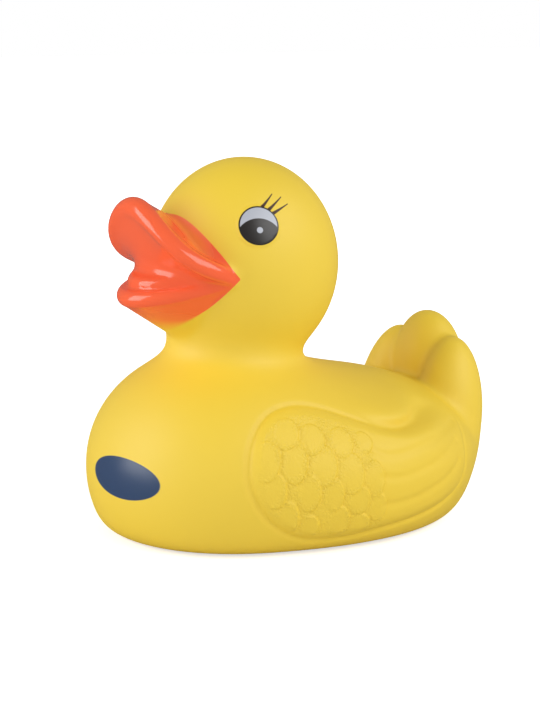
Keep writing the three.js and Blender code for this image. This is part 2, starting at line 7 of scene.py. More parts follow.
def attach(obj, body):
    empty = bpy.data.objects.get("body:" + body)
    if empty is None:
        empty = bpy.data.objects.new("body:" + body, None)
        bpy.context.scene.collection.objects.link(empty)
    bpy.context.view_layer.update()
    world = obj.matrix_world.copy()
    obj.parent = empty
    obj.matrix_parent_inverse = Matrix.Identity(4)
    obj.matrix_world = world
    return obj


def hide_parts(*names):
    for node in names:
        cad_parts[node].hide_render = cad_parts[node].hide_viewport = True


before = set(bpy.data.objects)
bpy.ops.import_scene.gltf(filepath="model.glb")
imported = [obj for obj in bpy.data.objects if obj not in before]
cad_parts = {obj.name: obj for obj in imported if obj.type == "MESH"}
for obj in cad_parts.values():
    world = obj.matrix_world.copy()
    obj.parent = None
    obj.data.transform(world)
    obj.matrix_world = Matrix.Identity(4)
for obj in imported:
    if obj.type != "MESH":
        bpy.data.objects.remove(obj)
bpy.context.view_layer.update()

# Sizes are in millimetres and degrees, apart from the studio's and the grain's, which are in metres.
mm = 0.001

# The moulded forms of the duck, before its box is centred on the origin
duckForm = {
    "hull": dict(x=-5.6, z=19.3, front=48.5, back=56.4, side=47.1, top=26.0, bottom=36.8, power=2.0),
    "breast": dict(x=18.0, z=18.3, length=38.3, side=40.1, height=34.3, power=2.05),
    "bodyBlend": 16.7,
    "head": dict(x=10.9, z=76.2, length=27.0, side=26.2, height=29.6),
    "neck": dict(x=15.3, radius=17.0, lowX=14.4, lowRadius=17.9, low=50.0, high=78.0,
                 headBlend=8.0, backBlend=7.0, frontBlend=11.0, frontFrom=6.0),
    "tailMiddle": dict(ahead=7.7, y=0, up=20.9, thick=9.3, wide=12.6, long=17.0, tilt=-1.6, splay=0),
    "tailSide": dict(ahead=11.2, y=15.5, up=10.3, thick=9.5, wide=9.9, long=21.8, tilt=7.9, splay=-8.3),
    "lobeBlend": 4.0,
    "tailBlend": 4.5,
    "baseRounding": 8.0,
}

# Beak: flared upper bill, fold of the mouth and lower lip, standing out from the head's upright axis.
# Every "thin" is the share of a radius that is left at the corners of the mouth.
beakShape = {
    "upper": dict(corner=57.6, cornerDrop=2.5, cornerSink=2.5, lip=3.0, lipThin=0.4,
                  reach=(6.7, 17.16, -16.05), rise=(11.0, -15.0, 23.48),
                  topDepth=7.0, topCornerDepth=5.0, topDrop=11.6, topRadius=6.0, topThin=0.3,
                  palateOut=4.4, palateRadius=4.5, palateCornerRadius=1.0, palateRise=1.0, topToPalate=1.0),
    "fold": dict(depth=15.0, radius=5.0, thin=0.5, rootRadius=4.0, drop=1.5, back=1.0, rise=1.0,
                 toLower=3.5, toUpper=2.5),
    "lower": dict(corner=56.0, cornerDrop=2.8, cornerSink=1.5, lip=2.5, lipThin=0.3,
                  reach=(-0.39, -5.31, 15.03), rise=(-1.99, -1.33, -1.75),
                  chinDepth=7.0, chinDrop=12.2, chinCornerRise=4.0, chinRadius=8.0, chinThin=0.4,
                  innerBack=3.0, innerRise=4.0, innerLip=2.2, innerThin=0.3, innerDrop=1.0, innerRadius=3.5,
                  innerToChin=2.2),
    # rounding between beak and head: below the head's middle, and on top of the bill
    "blend": 1.8, "topBlend": 3.5, "topBlendFrom": (2.0, 8.0),
    # how fast the beak sinks into the head past the corners of the mouth
    "sink": 40.0,
}


# Smooth least of two distances: the least, less k/6 times the cube of h, which goes from 0 where they
# are k apart to 1 where they are equal
def blendMin(a, b, k):
    h = np.maximum(k - np.abs(a - b), 0) / k
    return np.minimum(a, b) - h * h * h * k / 6


def blendMax(a, b, k):
    return -blendMin(-a, -b, k)


def smoothStep(low, high, value):
    f = np.clip((value - low) / (high - low), 0, 1)
    return f * f * (3 - 2 * f)


# From one value to another as w goes from 0 to 1
def between(start, end, w):
    return start + (end - start) * w


# Turn in an upright plane; a positive angle leans the upper end backwards
def leanBack(x, z, angle):
    c, s = math.cos(math.radians(angle)), math.sin(math.radians(angle))
    return x * c + z * s, z * c - x * s


# Near distance to an ellipsoid: scaled radius times how far it is past 1, over the slope
def ellipsoid(x, y, z, rx, ry, rz):
    inner = np.sqrt((x / rx) ** 2 + (y / ry) ** 2 + (z / rz) ** 2)
    slope = np.sqrt((x / rx ** 2) ** 2 + (y / ry ** 2) ** 2 + (z / rz ** 2) ** 2)
    return inner * (inner - 1) / np.maximum(slope, 1e-6)


# Near distance to an ellipsoid whose sections are of any power, 2 being the plain ellipse: scaled radius
# less 1, over the slope, and flatter towards the middle
def superEllipsoid(x, y, z, rx, ry, rz, power):
    a, b, c = np.abs(x / rx) + 1e-4, np.abs(y / ry) + 1e-4, np.abs(z / rz) + 1e-4
    total = a ** power + b ** power + c ** power
    size = total ** (1 / power)
    steep = power - 1
    slope = np.sqrt((a ** steep / rx) ** 2 + (b ** steep / ry) ** 2 + (c ** steep / rz) ** 2)
    slope = slope * total ** (1 / power - 1)
    return (size - 1) / np.maximum(slope, 1e-6) * np.minimum(1, 0.5 + 0.5 * size)


# Distance to a flat tapered bar: distance to its middle line, less a radius that runs from end to end
def taperedBar(r, z, ar, az, br, bz, startRadius, endRadius):
    dr, dz = br - ar, bz - az
    along = np.clip(((r - ar) * dr + (z - az) * dz) / (dr * dr + dz * dz + 1e-9), 0, 1)
    return np.hypot(r - ar - along * dr, z - az - along * dz) - between(startRadius, endRadius, along)


# The three numbers times w, its square and its cube
def cubic(k, w):
    return w * (k[0] + w * (k[1] + w * k[2]))


def bodyForm(x, y, z):
    h, b = duckForm["hull"], duckForm["breast"]
    dx, dz = x - h["x"], z - h["z"]
    lengthwise = np.where(dx > 0, h["front"], h["back"])
    upright = np.where(dz > 0, h["top"], h["bottom"])
    main = superEllipsoid(dx, y, dz, lengthwise, h["side"], upright, h["power"])
    front = superEllipsoid(x - b["x"], y, z - b["z"], b["length"], b["side"], b["height"], b["power"])
    return blendMin(main, front, duckForm["bodyBlend"])


def tailLobe(lobe, x, y, z):
    h = duckForm["hull"]
    middleX, middleZ = h["x"] - h["back"] + lobe["ahead"], h["z"] + lobe["up"]
    lengthwise, height = leanBack(x - middleX, z - middleZ, lobe["tilt"])
    across, upright = leanBack(y - lobe["y"], height, -lobe["splay"])
    return ellipsoid(lengthwise, across, upright, lobe["thick"], lobe["wide"], lobe["long"])


def tailForm(x, y, z):
    middle = tailLobe(duckForm["tailMiddle"], x, y, z)
    side = tailLobe(duckForm["tailSide"], x, np.abs(y), z)
    return blendMin(middle, side, duckForm["lobeBlend"])


def headForm(x, y, z):
    h, n = duckForm["head"], duckForm["neck"]
    skull = ellipsoid(x - h["x"], y, z - h["z"], h["length"], h["side"], h["height"])
    level = np.clip(z, n["low"], n["high"])
    high = (level - n["low"]) / (n["high"] - n["low"])
    axis = between(n["lowX"], n["x"], high)
    radius = between(n["lowRadius"], n["radius"], high)
    column = np.sqrt((x - axis) ** 2 + y ** 2 + (z - level) ** 2) - radius
    return blendMin(skull, column, n["headBlend"])


def plainForm(x, y, z):
    trunk = blendMin(bodyForm(x, y, z), tailForm(x, y, z), duckForm["tailBlend"])
    n = duckForm["neck"]
    frontShare = smoothStep(n["x"] - n["radius"], n["x"] + n["frontFrom"], x)
    return blendMin(trunk, headForm(x, y, z), between(n["backBlend"], n["frontBlend"], frontShare))


# What the two jaws share, in the upright plane at this angle: how near the plane is to the middle, from
# 0 at the mouth's corner to 1, how far out the face is, the lip's radius, and how far out and high it is
def jawLine(jaw, angle):
    w = np.clip(1 - (angle / jaw["corner"]) ** 2, 0, 1)
    face = duckForm["head"]["length"] - beakShape["sink"] * np.clip(angle / jaw["corner"] - 1, 0, 3)
    lip = jaw["lip"] * between(jaw["lipThin"], 1, np.sqrt(w))
    tip = face + cubic(jaw["reach"], w) - (1 - w) ** 3 * (jaw["cornerSink"] + lip)
    rim = duckForm["head"]["z"] - jaw["cornerDrop"] + cubic(jaw["rise"], w)
    return w, face, lip, tip, rim


# Sections in upright planes through the head's axis
def beakForm(x, y, z):
    head, u, f, l = duckForm["head"], beakShape["upper"], beakShape["fold"], beakShape["lower"]
    angle = np.degrees(np.arctan2(np.abs(y), x - head["x"]))
    r = np.hypot(x - head["x"], y)

    w, face, lip, tip, rim = jawLine(u, angle)
    foldRadius = f["radius"] * between(f["thin"], 1, w)
    mouth = face - f["back"] + (f["back"] + u["palateOut"]) * w
    foldEnd = head["z"] + (f["rise"] - f["drop"]) * w
    foldRoot, foldTip = face - f["depth"], mouth - foldRadius
    fold = taperedBar(r, z, foldRoot, head["z"], foldTip, foldEnd, f["rootRadius"], foldRadius)
    palateRadius = between(u["palateCornerRadius"], u["palateRadius"], w)
    palateLevel = head["z"] + u["palateRise"] * w
    palate = taperedBar(r, z, mouth - f["radius"], palateLevel, tip, rim, palateRadius, lip)
    topRoot = face - u["topDepth"] - u["topCornerDepth"] * (1 - w)
    topRadius = u["topRadius"] * between(u["topThin"], 1, w)
    top = taperedBar(r, z, topRoot, rim - u["topDrop"] * w, tip, rim, topRadius, lip)
    upper = blendMin(palate, top, u["topToPalate"])

    v, lowFace, lowLip, lowTip, lowRim = jawLine(l, angle)
    chinLevel = head["z"] - l["chinDrop"] + l["chinCornerRise"] * (1 - v)
    chinRadius = l["chinRadius"] * between(l["chinThin"], 1, v)
    chinRoot = lowFace - l["chinDepth"] * (2 - v)
    chin = taperedBar(r, z, chinRoot, chinLevel, lowTip, lowRim, chinRadius, lowLip)
    innerRoot, innerLevel = lowFace - l["chinDepth"], head["z"] - l["innerDrop"]
    innerTip, innerRim = lowTip - l["innerBack"] * v, lowRim + l["innerRise"] * v
    innerLip = l["innerLip"] * between(l["innerThin"], 1, v)
    inner = taperedBar(r, z, innerRoot, innerLevel, innerTip, innerRim, l["innerRadius"], innerLip)
    lower = blendMin(chin, inner, l["innerToChin"])
    return blendMin(blendMin(lower, fold, f["toLower"]), upper, f["toUpper"])


# Wings: low relief in two surface lengths of the side, s running back and t running up
wingShape = {
    # the surface length that a radian stands for, how far from the middle the relief is looked for, where
    # the wing's middle is from the hull's, and how much longer and taller than the hull its ellipsoid is
    "lengthPerRadian": 50.0, "heightPerRadian": 32.0, "reach": (56.0, 34.0),
    "ahead": 1.6, "above": 2.7, "longer": 0.7, "taller": 4.0,
    "rise": 0.7, "edge": 3.6, "line": 0.5, "rearLine": 0.5, "lineWidth": 0.8,
    "outline": [(-34.0, 6.0), (-32.9, 14.2), (-29.6, 19.4), (-23.0, 21.9), (-15.4, 21.6), (-7.9, 19.5),
                (-1.1, 16.5), (4.8, 13.9), (11.5, 12.2), (19.0, 12.8), (27.0, 15.1), (35.0, 16.4),
                (41.5, 15.6), (43.0, 11.8), (39.6, 7.0), (35.6, 1.5), (34.0, -4.5), (31.4, -9.4),
                (24.0, -13.0), (13.0, -15.4), (2.0, -16.8), (-9.0, -18.2), (-20.0, -17.2), (-28.0, -11.9),
                (-32.8, -3.0)],
    # the wing runs into the tail lobe at its rear end: its edge is only a fine line there, and none on top
    "rearFade": (20.0, 34.0), "lineEnd": (28.0, 37.0), "lineEndUp": (5.0, 11.0),
    # deep crease between the back and the rear end of the wing, opening to the rear and wider on the back's
    # side, with a swell at each side of it: a crest on the wing and a dome on the back
    "crease": [(0.0, 16.0), (4.8, 13.9), (9.3, 12.6), (13.2, 12.2), (18.0, 12.7), (22.0, 13.6),
               (27.0, 15.1), (33.0, 16.4), (39.0, 16.6)],
    "creaseStart": (-4.0, 14.0), "creaseEnd": (28.0, 41.0),
    "creaseDepth": 1.4, "creaseWidth": 1.5, "backWidening": 1.7,
    "creaseOpening": 1.2, "openingFrom": (16.0, 34.0),
    "crest": 0.5, "dome": 0.6, "swellRise": 4.0, "swellEnd": 13.0,
    "featherDepth": 0.38, "featherWidth": 1.2, "featherStart": (0.5, 2.5),
    "feathers": [[(-1.6, 7.4), (2.5, 5.2), (6.5, 4.8), (11.0, 5.5), (18.0, 6.6), (26.0, 8.1), (33.0, 9.0),
                  (38.5, 9.6)],
                 [(0.5, -0.8), (4.5, -1.6), (9.0, -1.4), (14.8, -0.3), (20.0, 1.1), (26.0, 3.0),
                  (31.5, 4.6)],
                 [(1.6, -9.2), (6.0, -9.1), (11.0, -8.5), (16.0, -7.2), (21.0, -5.6), (26.0, -3.5),
                  (29.5, -1.5)]],
    "scaleRise": 0.55, "scaleThin": 0.45, "scaleEdge": 0.34, "scaleLine": 0.09, "scaleLineWidth": 0.34,
    "scaleStart": (0.8, 3.0),
    # middle, half length and half height of each scale, from the rear ones to the front ones
    "scales": [(-0.8, -9.3, 2.4, 4.0), (-5.2, -14.0, 2.6, 3.2), (-2.0, -0.9, 2.8, 5.2),
               (-3.2, 9.6, 2.4, 3.2), (-6.3, -6.5, 3.0, 4.2), (-11.5, -12.1, 3.1, 4.6),
               (-8.1, 1.4, 3.3, 6.0), (-9.8, 10.4, 3.4, 4.4), (-12.9, -4.3, 2.7, 4.5),
               (-18.8, -13.0, 2.5, 3.4), (-15.1, 4.2, 3.4, 5.8), (-18.2, 11.7, 3.9, 4.4),
               (-19.0, -3.2, 2.9, 5.3), (-24.1, -9.9, 2.6, 4.7), (-22.5, 5.8, 3.2, 6.3),
               (-24.9, 13.5, 3.6, 4.4), (-27.3, -2.2, 2.8, 4.9), (-29.6, 6.0, 3.6, 5.6)],
    # the part of the wing that is grained like leather
    "grain": [(-32.0, 6.0), (-30.0, 15.5), (-23.5, 19.4), (-13.9, 19.0), (-5.6, 15.3), (-1.3, 9.1),
              (0.7, 0.8), (1.2, -7.4), (2.2, -14.0), (-1.5, -16.3), (-11.1, -16.7), (-20.6, -15.2),
              (-28.2, -10.2), (-31.9, -3.0)],
}


# Curve through the points: on each span, the cubic whose slope at a point is half the step between
# the point's neighbours
def smoothPath(points, closed, perSpan=4):
    p = np.array(points, float)
    if closed:
        p = np.vstack([p[-1], p, p[0], p[1]])
    else:
        p = np.vstack([2 * p[0] - p[1], p, 2 * p[-1] - p[-2]])
    f = np.linspace(0, 1, perSpan, endpoint=False)[None, :, None]
    a, b, c, d = p[:-3, None], p[1:-2, None], p[2:-1, None], p[3:, None]
    square, cube = 2 * a - 5 * b + 4 * c - d, 3 * b - a - 3 * c + d
    curve = 0.5 * (2 * b + (c - a) * f + square * f ** 2 + cube * f ** 3)
    return np.vstack([curve.reshape(-1, 2), p[-2][None]])


# Least distance to a path's straight pieces
def distanceToPath(path, s, t):
    least = np.full(s.shape, 1e9)
    for (s0, t0), (s1, t1) in zip(path[:-1], path[1:]):
        ds, dt = s1 - s0, t1 - t0
        along = np.clip(((s - s0) * ds + (t - t0) * dt) / (ds * ds + dt * dt + 1e-9), 0, 1)
        least = np.minimum(least, np.hypot(s - s0 - along * ds, t - t0 - along * dt))
    return least


# Inside where a line to the rear crosses the closed path an odd number of times
def insidePath(path, s, t):
    inside = np.zeros(s.shape, bool)
    for (s0, t0), (s1, t1) in zip(path[:-1], path[1:]):
        if t0 != t1:
            inside ^= ((t0 > t) != (t1 > t)) & (s < s0 + (s1 - s0) * (t - t0) / (t1 - t0))
    return inside


def groove(distance, depth, width):
    return depth * np.exp(-((distance / width) ** 2))


wingOutline = smoothPath(wingShape["outline"], True)
wingCrease = smoothPath(wingShape["crease"], False)
grainOutline = smoothPath(wingShape["grain"], True)
featherLines = [smoothPath(line, False) for line in wingShape["feathers"]]


# s and t are angles about the wing's middle on an ellipsoid that follows the hull, times a length for each
def wingPlace(x, y, z):
    h, k = duckForm["hull"], wingShape
    dx = (x - h["x"] - k["ahead"]) / (h["back"] + k["longer"])
    dy = np.abs(y) / h["side"]
    dz = (z - h["z"] - k["above"]) / (h["top"] + k["taller"])
    s = k["lengthPerRadian"] * np.arctan2(-dx, dy)
    t = k["heightPerRadian"] * np.arctan2(dz, np.hypot(dx, dy))
    return s, t


# Each scale rises to its rear edge and covers the scale behind it, and a fine line runs along its rear edge
def scaleRelief(s, t):
    k = wingShape
    height = np.zeros(s.shape)
    for middleS, middleT, halfLength, halfHeight in k["scales"]:
        ds, dt = (s - middleS) / halfLength, (t - middleT) / halfHeight
        within = (1 - np.hypot(ds, dt)) * halfLength
        cover = smoothStep(-0.5, 0.5, within / k["scaleEdge"])
        slant = between(k["scaleThin"], 1, np.clip(ds, -0.6, 1))
        height = height * (1 - cover) + k["scaleRise"] * slant * cover
        rearwards = np.clip(0.5 + ds, 0, 1)
        height -= groove(within + k["scaleEdge"], k["scaleLine"] * rearwards, k["scaleLineWidth"])
    return height


# How near a place is to the edge of any scale
def scaleEdgeGap(s, t):
    gap = np.full(s.shape, 9.0)
    for middleS, middleT, halfLength, halfHeight in wingShape["scales"]:
        ds, dt = (s - middleS) / halfLength, (t - middleT) / halfHeight
        gap = np.minimum(gap, np.abs(1 - np.hypot(ds, dt)) * halfLength)
    return gap


# 1 on the smooth crown of a scale, 0 near its edge
def scaleCrown(s, t):
    crown = np.zeros(s.shape)
    for middleS, middleT, halfLength, halfHeight in wingShape["scales"]:
        r = np.hypot((s - middleS) / halfLength, (t - middleT) / halfHeight)
        crown = np.where(r < 1, smoothStep(0.15, 0.5, 1 - r), crown)
    return crown


# Distance to a closed path, positive inside it
def depthInside(path, s, t):
    return np.where(insidePath(path, s, t), 1, -1) * distanceToPath(path, s, t)


# Height of the wing's relief over the plain hull, worked out only for the points near a wing
def wingRelief(x, y, z):
    k = wingShape
    height = np.zeros(x.shape)
    s, t = wingPlace(x, y, z)
    near = np.nonzero((np.abs(s) < k["reach"][0]) & (np.abs(t) < k["reach"][1]))[0]
    s, t = s[near], t[near]
    depth = depthInside(wingOutline, s, t)
    toCrease = distanceToPath(wingCrease, s, t)
    strength = smoothStep(*k["creaseStart"], s) * (1 - smoothStep(*k["creaseEnd"], s))
    fade = 1 - smoothStep(*k["rearFade"], s)
    rearTop = smoothStep(*k["lineEnd"], s) * smoothStep(*k["lineEndUp"], t)
    line = groove(depth, k["line"] * between(k["rearLine"], 1, fade) * (1 - rearTop), k["lineWidth"])
    width = k["creaseWidth"] * (1 + k["creaseOpening"] * smoothStep(*k["openingFrom"], s))
    width = width * np.where(depth < 0, k["backWidening"], 1)
    crease = np.maximum(line, groove(toCrease, k["creaseDepth"] * strength, width))
    swell = strength * smoothStep(0, k["swellRise"], toCrease)
    swell = swell * (1 - smoothStep(k["swellRise"], k["swellEnd"], toCrease))
    toFeather = np.minimum.reduce([distanceToPath(path, s, t) for path in featherLines])
    furrow = groove(toFeather, k["featherDepth"], k["featherWidth"]) * smoothStep(*k["featherStart"], depth)
    scales = scaleRelief(s, t) * smoothStep(*k["scaleStart"], depth)
    raised = k["rise"] * fade * smoothStep(0, k["edge"], depth) + scales
    height[near] = np.where(depth > 0, raised - furrow + k["crest"] * swell, k["dome"] * swell) - crease
    return height


# A step of length 1 at so many degrees from ahead to the left, and so many up
def wayTo(turn, lift):
    turn, lift = math.radians(turn), math.radians(lift)
    return math.cos(lift) * math.cos(turn), math.cos(lift) * math.sin(turn), math.sin(lift)


# Eyes: flat round pads that face outwards from the head
eyeShape = {"turn": 68.4, "lift": 28.4, "radius": 5.9, "rise": 0.35, "edge": 0.4}
headSize = np.array([duckForm["head"][k] for k in ("length", "side", "height")])
headMiddle = np.array([duckForm["head"]["x"], 0, duckForm["head"]["z"]])
eyeWay = np.array(wayTo(eyeShape["turn"], eyeShape["lift"]))
eyeSeat = eyeWay / np.linalg.norm(eyeWay / headSize)
eyeNormal = eyeSeat / headSize ** 2
eyeNormal /= np.linalg.norm(eyeNormal)
eyeAcross = np.cross([0, 0, 1], eyeNormal)
eyeAcross /= np.linalg.norm(eyeAcross)
eyeUp = np.cross(eyeNormal, eyeAcross)


# Place on the eye's own plane: across to the rear, up, and out of the head
def eyePlace(x, y, z):
    p = np.stack([x, np.abs(y), z], 1) - headMiddle - eyeSeat
    return p @ eyeAcross, p @ eyeUp, p @ eyeNormal


def eyeRelief(x, y, z):
    across, up, out = eyePlace(x, y, z)
    inwards = eyeShape["radius"] - np.hypot(across, up)
    pad = eyeShape["rise"] * smoothStep(-eyeShape["edge"], eyeShape["edge"], inwards)
    return np.where(np.abs(out) < eyeShape["radius"], pad, 0)


# Air hole in the base, cut as a short blind bore
airHole = {"x": -12.0, "radius": 1.5, "depth": 5.0}


# The whole skin: beak blended into the plain form, relief added near the surface, base cut flat, hole bored
def skinForm(x, y, z):
    onTop = smoothStep(*beakShape["topBlendFrom"], z - duckForm["head"]["z"])
    rounding = between(beakShape["blend"], beakShape["topBlend"], onTop)
    form = blendMin(plainForm(x, y, z), beakForm(x, y, z), rounding)
    near = np.nonzero(np.abs(form) < 3)[0]
    form[near] -= wingRelief(x[near], y[near], z[near]) + eyeRelief(x[near], y[near], z[near])
    form = blendMax(form, -z, duckForm["baseRounding"])
    bore = np.maximum(np.hypot(x - airHole["x"], y) - airHole["radius"], z - airHole["depth"])
    return np.maximum(form, -bore)


# Grid that the skin is contoured on, and how many steps wide the coarse blocks of its first pass are
contourGrid = {"low": (-71.0, -53.0, -2.0), "high": (64.0, 53.0, 112.0), "step": 1.1, "block": 4}


# The form's values on the grid: one for each coarse block, then true ones where the surface is near
def gridValues(form, low, counts, step, block):
    blocks = [-(-n // block) for n in counts]
    axes = [low[a] + step * (block * np.arange(blocks[a]) + (block - 1) / 2) for a in range(3)]
    x, y, z = (g.ravel() for g in np.meshgrid(*axes, indexing="ij"))
    values = form(x, y, z).reshape(blocks)
    for axis in range(3):
        values = values.repeat(block, axis)
    values = values[:counts[0], :counts[1], :counts[2]].copy()
    i, j, k = np.nonzero(np.abs(values) < 2 * step * block)
    values[i, j, k] = form(low[0] + step * i, low[1] + step * j, low[2] + step * k)
    return values


# Move points along the form's slope to its zero level, twice and by up to 0.4 each time; h is the step
# that the slope is measured over
def settle(form, p, h=0.02):
    for _ in range(2):
        x, y, z = p.T
        slope = np.stack([form(x + h, y, z) - form(x - h, y, z), form(x, y + h, z) - form(x, y - h, z),
                          form(x, y, z + h) - form(x, y, z - h)], 1) / (2 * h)
        move = form(x, y, z) / np.maximum((slope ** 2).sum(1), 0.04)
        p = p - np.clip(move, -0.4, 0.4)[:, None] * slope
    return p


# Contour of a form: one point in each cell that the surface crosses, and one quad for each crossed edge
def contour(form, grid):
    step = grid["step"]
    low = np.array(grid["low"])
    counts = [int((b - a) / step) + 1 for a, b in zip(grid["low"], grid["high"])]
    low[1] = -step * (counts[1] - 1) / 2
    values = gridValues(form, low, counts, step, grid["block"])
    inside = values < 0

    corners = np.array([[(c >> a) & 1 for a in range(3)] for c in range(8)])
    cells = [n - 1 for n in counts]
    cut = np.zeros(cells, np.int8)
    for c in corners:
        cut += inside[c[0]:c[0] + cells[0], c[1]:c[1] + cells[1], c[2]:c[2] + cells[2]]
    i, j, k = np.nonzero((cut > 0) & (cut < 8))
    v = np.stack([values[i + c[0], j + c[1], k + c[2]] for c in corners])
    total, crossings = np.zeros((len(i), 3)), np.zeros(len(i))
    for a in range(8):
        for bit in (1, 2, 4):
            if a & bit:
                continue
            b = a | bit
            crossed = (v[a] < 0) != (v[b] < 0)
            f = np.where(crossed, v[a] / np.where(crossed, v[a] - v[b], 1), 0)
            total += crossed[:, None] * (corners[a] + f[:, None] * (corners[b] - corners[a]))
            crossings += crossed
    points = low + step * (np.stack([i, j, k], 1) + total / crossings[:, None])
    number = np.full(cells, -1)
    number[i, j, k] = np.arange(len(i))

    quads = []
    for axis in range(3):
        first = [slice(1, n - 1) for n in counts]
        here = inside[tuple(first)]
        first[axis] = slice(2, counts[axis])
        there = inside[tuple(first)]
        at = np.stack(np.nonzero(here != there), 1) + 1
        u, w = np.eye(3, dtype=int)[(axis + 1) % 3], np.eye(3, dtype=int)[(axis + 2) % 3]
        ring = np.stack([number[tuple((at - a).T)] for a in (u + w, w, 0 * u, u)], 1)
        outward = inside[tuple(at.T)]
        quads.append(np.where(outward[:, None], ring, ring[:, ::-1]))
    return settle(form, points), np.vstack(quads)


# Each quad is cut along its shorter diagonal
def triangles(points, quads):
    a, b, c, d = quads.T
    along = ((points[a] - points[c]) ** 2).sum(1) < ((points[b] - points[d]) ** 2).sum(1)
    first = np.where(along[:, None], np.stack([a, b, c], 1), np.stack([a, b, d], 1))
    second = np.where(along[:, None], np.stack([a, c, d], 1), np.stack([b, c, d], 1))
    return np.vstack([first, second])


# Halve the edges that have both ends in the fine zone, and cut each triangle there into two, three or four
def refine(form, points, faces, fine):
    edges = np.sort(np.concatenate([faces[:, [0, 1]], faces[:, [1, 2]], faces[:, [2, 0]]]), axis=1)
    edges, index = np.unique(edges, axis=0, return_inverse=True)
    index = index.reshape(3, -1).T
    halved = fine[edges].all(1)
    number = np.full(len(edges), -1)
    number[halved] = len(points) + np.arange(halved.sum())
    added = settle(form, points[edges[halved]].mean(1))
    middles = number[index]
    cuts = (middles >= 0).sum(1)
    result = [faces[cuts == 0]]
    for turn in range(3):
        f, m = np.roll(faces, -turn, 1), np.roll(middles, -turn, 1)
        one = (cuts == 1) & (m[:, 0] >= 0)
        (a, b, c), d = f[one].T, m[one, 0]
        result += [np.stack([a, d, c], 1), np.stack([d, b, c], 1)]
        two = (cuts == 2) & (m[:, 2] < 0)
        (a, b, c), (d, e) = f[two].T, m[two, :2].T
        result += [np.stack([d, b, e], 1), np.stack([a, d, e], 1), np.stack([a, e, c], 1)]
    (a, b, c), (d, e, g) = faces[cuts == 3].T, middles[cuts == 3].T
    result += [np.stack(corners, 1) for corners in ((a, d, g), (d, b, e), (g, e, c), (d, e, g))]
    return np.vstack([points, added]), np.vstack(result)


# Wings, beak and eyes are drawn finer than the rest, and the scales' edges finest
fineParts = {
    "wingMargin": 4.0, "wingSide": 8.0, "wingTop": 62.0,
    "beakTurn": 66.0, "beakLow": 57.0, "beakHigh": 110.0, "beakFrom": 21.5,
    "eyeRadius": 9.0, "eyeDepth": 5.0, "scaleEdge": 0.6, "scaleInside": 0.5,
}


def fineZone(points):
    x, y, z = points.T
    k = fineParts
    depth = depthInside(wingOutline, *wingPlace(x, y, z))
    wing = (depth > -k["wingMargin"]) & (np.abs(y) > k["wingSide"]) & (z < k["wingTop"])
    ahead = x - duckForm["head"]["x"]
    angle = np.degrees(np.arctan2(np.abs(y), ahead))
    beak = (angle < k["beakTurn"]) & (z > k["beakLow"]) & (z < k["beakHigh"])
    beak &= np.hypot(ahead, y) > k["beakFrom"]
    across, up, out = eyePlace(x, y, z)
    return wing | beak | ((np.hypot(across, up) < k["eyeRadius"]) & (np.abs(out) < k["eyeDepth"]))


def finestZone(points):
    x, y, z = points.T
    k = fineParts
    s, t = wingPlace(x, y, z)
    edge = (scaleEdgeGap(s, t) < k["scaleEdge"]) & (depthInside(wingOutline, s, t) > k["scaleInside"])
    return edge & (np.abs(y) > k["wingSide"]) & (z < k["wingTop"])


print("stage 2: contouring the skin")
points, quads = contour(skinForm, contourGrid)
faces = triangles(points, quads)
points, faces = refine(skinForm, points, faces, fineZone(points))
points, faces = refine(skinForm, points, faces, finestZone(points))
# The flat base lies at level 0 exactly
points[np.abs(points[:, 2]) < 0.03, 2] = 0
print("skin:", len(points), "points,", len(faces), "triangles, box", points.min(0), points.max(0))

# The frame's origin is under the middle of the duck's box
middle = (points.min(0) + points.max(0)) / 2
shift = np.array([-middle[0], -middle[1], 0])


def makeMesh(name, verts, faces):
    mesh = bpy.data.meshes.new(name)
    mesh.vertices.add(len(verts))
    mesh.vertices.foreach_set("co", np.asarray(verts, np.float32).ravel())
    faces = np.asarray(faces)
    mesh.loops.add(faces.size)
    mesh.loops.foreach_set("vertex_index", faces.astype(np.int32).ravel())
    mesh.polygons.add(len(faces))
    mesh.polygons.foreach_set("loop_start", np.arange(0, faces.size, faces.shape[1], dtype=np.int32))
    mesh.polygons.foreach_set("use_smooth", np.full(len(faces), True))
    mesh.update(calc_edges=True)
    mesh.validate()
    piece = bpy.data.objects.new(name, mesh)
    bpy.context.scene.collection.objects.link(piece)
    return piece


# Two or three values for each point; a third that isn't given stays 0
def setAttribute(mesh, name, *columns):
    values = np.zeros((len(mesh.vertices), 3), np.float32)
    values[:, :len(columns)] = np.stack(columns, 1)
    attribute = mesh.attributes.new(name, "FLOAT_VECTOR", "POINT")
    attribute.data.foreach_set("vector", values.ravel())


# Paint line of the beak: from the mouth's corner up and down to the middle of the face
paintLine = {
    "corner": 57.0, "cornerZ": 74.7,
    "topZ": 91.2, "topPower": 2.25, "lowZ": 60.6, "lowPower": 2.05,
    "lobeLean": 3.0, "leanStart": 25.0, "leanFrom": (0.8, 0.9), "chinLean": 0.35, "chinStart": 27.0,
    # how many millimetres a turn as wide as the mouth's corner counts as
    "cornerReach": 25.0,
}


# Distance to the paint line: height over the line's own height at this angle, where the line rises outwards
# along the lobe and the chin
def paintPlace(x, y, z):
    k = paintLine
    head = duckForm["head"]
    angle = np.degrees(np.arctan2(np.abs(y), x - head["x"])) / k["corner"]
    r = np.hypot(x - head["x"], y)
    w = np.clip(1 - np.abs(angle) ** k["topPower"], 0, 1)
    v = np.clip(1 - np.abs(angle) ** k["lowPower"], 0, 1)
    lean = k["lobeLean"] * np.maximum(r - k["leanStart"], 0) * smoothStep(*k["leanFrom"], w)
    top = between(k["cornerZ"], k["topZ"], w) + lean
    low = between(k["cornerZ"], k["lowZ"], v) + k["chinLean"] * np.maximum(r - k["chinStart"], 0)
    return np.maximum(np.maximum(z - top, low - z), (np.abs(angle) - 1) * k["cornerReach"])


